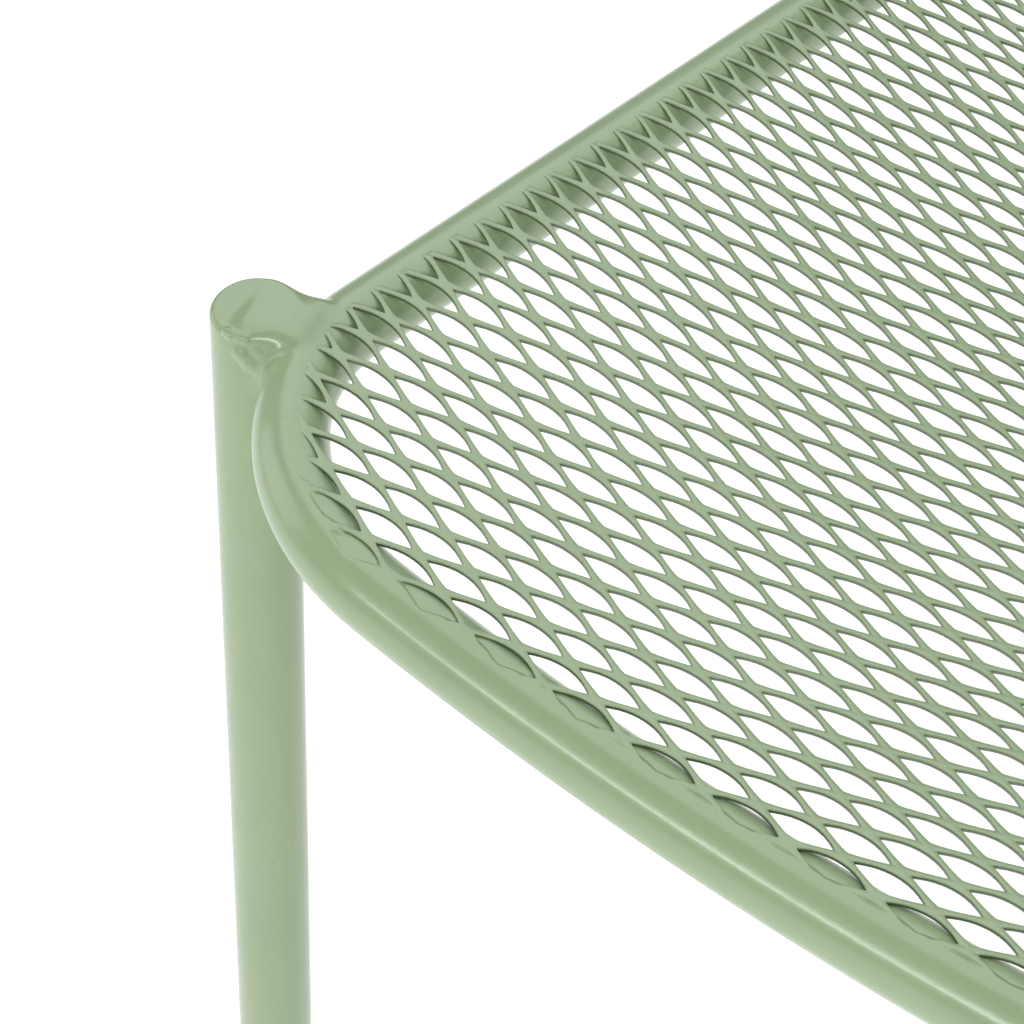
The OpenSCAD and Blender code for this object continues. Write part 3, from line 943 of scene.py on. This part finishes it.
# Front legs, their caps and their glides
leg_top = SEAT_HEIGHT - CAP_THICKNESS
points, faces = lathe([(LEG_R, z) for z in np.linspace(leg_top, GLIDE_HEIGHT, 40)])
both_sides("front_leg_tube", at_front_leg(points), faces, tube_coat, ["front_leg"])
cap = [(radius, SEAT_HEIGHT) for radius in CAP_RINGS]
cap += arc((LEG_R - CAP_ROUND, SEAT_HEIGHT - CAP_ROUND), CAP_ROUND, 90, 0)
cap += [(LEG_R, leg_top)]
points, faces = lathe(cap)
on_top = points[:, 2] > leg_top + TINY
points[on_top, 2] += cap_height(points[on_top, 0], points[on_top, 1])
both_sides("front_cap", at_front_leg(points), faces, tube_coat, ["front_leg_cap"])

# A glide: its outer radius, the radii of its lip and of its bottom edge, and how far its lip's middle is
# below the tube's end
BASE_R = LEG_R + GLIDE_FLANGE
GLIDE_LIP = 0.9
GLIDE_EDGE = 2.6
LIP_DROP = 0.5
# The glide's top stands above the tube's end by a little, from inside the tube to just outside it
GLIDE_OVERLAP = 0.4
GLIDE_IN = 2
GLIDE_OUT = 0.3
# Height at which the side goes straight down, as a share of the whole, and the radius of the point on the
# flat bottom
GLIDE_SIDE = 0.62
GLIDE_FLAT = 6


def glide_profile(height):
    """A glide's outline from the top in the tube to the middle of its bottom."""
    top = height + GLIDE_OVERLAP
    profile = [(LEG_R - GLIDE_IN, top), (LEG_R + GLIDE_OUT, top)]
    profile += arc((BASE_R - GLIDE_LIP, height - LIP_DROP), GLIDE_LIP, 80, 0, 5)
    profile += [(BASE_R, height * GLIDE_SIDE)]
    profile += arc((BASE_R - GLIDE_EDGE, GLIDE_EDGE), GLIDE_EDGE, 0, -90, 7)
    profile += [(GLIDE_FLAT, 0), (0, 0)]
    return profile


points, faces = lathe(glide_profile(GLIDE_HEIGHT))
both_sides("front_foot", at_front_leg(points), faces, glide_plastic, ["front_glide"])

# Rear legs: straight, bent above the seat and straight again. Both straight runs are measured from the
# point where their lines meet, and their points stop short of the bend.
bend_angle = REAR_SPLAY + BACK_LEAN
tangent = LEG_BEND_R * math.tan(bend_angle / 2)
bend_gap = 6
lower_run = (BEND_Z - GLIDE_HEIGHT) / math.cos(REAR_SPLAY)
upper_run = (BACK_HEIGHT - BEND_Z) / math.cos(BACK_LEAN) + BACK_STRAIGHT / 2
down = np.array([0, math.sin(REAR_SPLAY), -math.cos(REAR_SPLAY)])
up = np.array([0, math.sin(BACK_LEAN), math.cos(BACK_LEAN)])
bend_centre = down * tangent + LEG_BEND_R * np.array([0, math.cos(REAR_SPLAY), math.sin(REAR_SPLAY)])
bend_start = down * tangent - bend_centre
bend_ahead = np.array([0, bend_start[2], -bend_start[1]])
leg_path = [down * d for d in np.linspace(lower_run, tangent + bend_gap, 36)]
for a in np.linspace(0, bend_angle, 26):
    leg_path.append(bend_centre + bend_start * math.cos(a) + bend_ahead * math.sin(a))
leg_path += [up * d for d in np.linspace(tangent + bend_gap, upper_run - CAP_THICKNESS, 10)]
leg_path = np.array(leg_path) + [-REAR_X, CENTRE_SHIFT + BEND_Y, BEND_Z]
points, faces = sweep(leg_path, np.tile([-1.0, 0, 0], (len(leg_path), 1)), LEG_R, 72)
both_sides("rear_leg_tube", points, faces, tube_coat, ["rear_leg"])


def tilted(points, angle):
    """Turns points about X and moves them from the left rear leg's bend to their place in the chair."""
    return points @ turn_about_x(angle).T + [-REAR_X, CENTRE_SHIFT + BEND_Y, BEND_Z]


points, faces = lathe(np.array(cap) + [0, upper_run - SEAT_HEIGHT])
both_sides("rear_cap", tilted(points, -BACK_LEAN), faces, tube_coat, ["rear_leg_cap"])
tall_base = GLIDE_HEIGHT / math.cos(REAR_SPLAY) + 2 * LEG_R * math.tan(REAR_SPLAY)
points, faces = lathe(np.array(glide_profile(tall_base)) - [0, lower_run + tall_base])
points = tilted(points, REAR_SPLAY)
points[:, 2] = np.maximum(points[:, 2], 0)
both_sides("rear_foot", points, faces, glide_plastic, ["rear_glide"])

# Welded joints between the legs and the seat hoop
for end, word in ((-1, "front"), (1, "rear")):
    points, faces = joint_mesh(end)
    both_sides(word + "_joint", in_seat(points), faces, tube_coat, [word + "_weld"])

# Weld beads between the back hoop and the rear uprights: their radius, how far off the joint's middle they
# lie, their length, how many lengths their middles are from the ends of the hoop's sides, and how far they
# run on past their length
BEAD_R = 2.8
BEAD_GROOVE = 4.0
BEAD_LENGTH = BACK_STRAIGHT * 0.26
BEAD_INSET = 0.8
BEAD_OVERRUN = 1
BEAD_POINTS = 90
# Ripples along a bead: the height and length of the sharp ones, and the height and rate of the slow ones
RIPPLE_HEIGHT = 0.22
RIPPLE_LENGTH = 2.1
SWELL_HEIGHT = 0.15
SWELL_RATE = 0.7


def back_beads():
    """The four beads of the left upright, in the back hoop's frame."""
    rng = np.random.default_rng(31)
    beads = []
    for end in (-1, 1):
        for face in (-1, 1):
            half = BEAD_LENGTH / 2
            along = np.linspace(-half - BEAD_OVERRUN, half + BEAD_OVERRUN, BEAD_POINTS)
            taper = np.sqrt(np.maximum(1 - np.abs(along / (half + BEAD_OVERRUN + 0.01)) ** 6, 0.0004))
            ripple = RIPPLE_HEIGHT * np.abs(np.sin(along * math.pi / RIPPLE_LENGTH + rng.uniform(0, 3)))
            radius = (BEAD_R + ripple + SWELL_HEIGHT * np.sin(along * SWELL_RATE + rng.uniform(0, 6))) * taper
            middle = np.stack(
                [
                    np.full(BEAD_POINTS, LEG_R - REAR_X),
                    end * (BACK_STRAIGHT / 2 - BEAD_LENGTH * BEAD_INSET) + along,
                    np.full(BEAD_POINTS, face * BEAD_GROOVE),
                ],
                axis=1,
            )
            beads.append(sweep(middle, np.tile([-1.0, 0, 0], (BEAD_POINTS, 1)), radius, 28))
    offset = np.cumsum([0] + [len(b[0]) for b in beads[:-1]])
    points = np.concatenate([b[0] for b in beads])
    return points, np.concatenate([b[1] + o for b, o in zip(beads, offset)])


points, faces = back_beads()
both_sides("back_bead", in_back(points), faces, tube_coat, ["back_weld"])

# ---- Floor, light and camera ----


def stage_plane(name, half, material):
    """A square plane at floor level, with its half width in metres."""
    mesh = bpy.data.meshes.new(name)
    corners = [(-half, -half, 0), (half, -half, 0), (half, half, 0), (-half, half, 0)]
    mesh.from_pydata(corners, [], [(0, 1, 2, 3)])
    mesh.materials.append(material)
    obj = bpy.data.objects.new(name, mesh)
    bpy.context.scene.collection.objects.link(obj)


stage_plane("floor", 30.0, floor_material())


def area_light(name, location, target, size, power):
    """A rectangular light turned toward a target, with places and sizes in metres and its power in watts."""
    light = bpy.data.lights.new(name, "AREA")
    light.shape = "RECTANGLE"
    light.size, light.size_y = size
    light.energy = power
    obj = bpy.data.objects.new(name, light)
    bpy.context.scene.collection.objects.link(obj)
    ahead = np.array(target) - np.array(location)
    obj.location = location
    obj.rotation_euler = (
        math.atan2(math.hypot(ahead[0], ahead[1]), -ahead[2]),
        0,
        math.atan2(-ahead[0], ahead[1]),
    )


# What the lights are turned toward, in metres
SEAT_SPOT = (-0.1, -0.15, 0.45)
area_light("front_strip", (0.3, -2.2, 1.5), SEAT_SPOT, (2.8, 0.3), 28)
area_light("left_soft", (-2.2, -0.9, 1.1), SEAT_SPOT, (1.4, 1.4), 8)
area_light("top_soft", (-0.6, 0.9, 2.9), SEAT_SPOT, (3.8, 3.8), 62)
area_light("right_soft", (2.4, -0.4, 1.2), SEAT_SPOT, (1.6, 1.6), 6)

scene = bpy.context.scene
world = bpy.data.worlds.new("studio")
world.use_nodes = True
world.node_tree.nodes["Background"].inputs["Color"].default_value = (1, 1, 1, 1)
world.node_tree.nodes["Background"].inputs["Strength"].default_value = 0.21
scene.world = world
scene.view_settings.view_transform = "Standard"

# The camera's heading, how far down it looks and its roll, and its place in metres: to the right of the
# chair's middle, in front of where the seat's straight rails end, and above the floor
AZIMUTH = math.radians(36.88)
ELEVATION = math.radians(40.04)
ROLL = math.radians(2.74)
CAMERA_RIGHT = 0.1579
CAMERA_FRONT = 0.4197
CAMERA_HEIGHT = 0.8460
camera = bpy.data.objects.new("camera", bpy.data.cameras.new("camera"))
camera.data.lens = 95.04
camera.data.sensor_width = 36.0
rails_front = (CENTRE_SHIFT - SEAT_STRAIGHT / 2) * MM
camera.matrix_world = (
    Matrix.Translation((CAMERA_RIGHT, rails_front - CAMERA_FRONT, CAMERA_HEIGHT))
    @ Matrix.Rotation(AZIMUTH, 4, "Z")
    @ Matrix.Rotation(math.pi / 2 - ELEVATION, 4, "X")
    @ Matrix.Rotation(ROLL, 4, "Z")
)
scene.collection.objects.link(camera)
scene.camera = camera
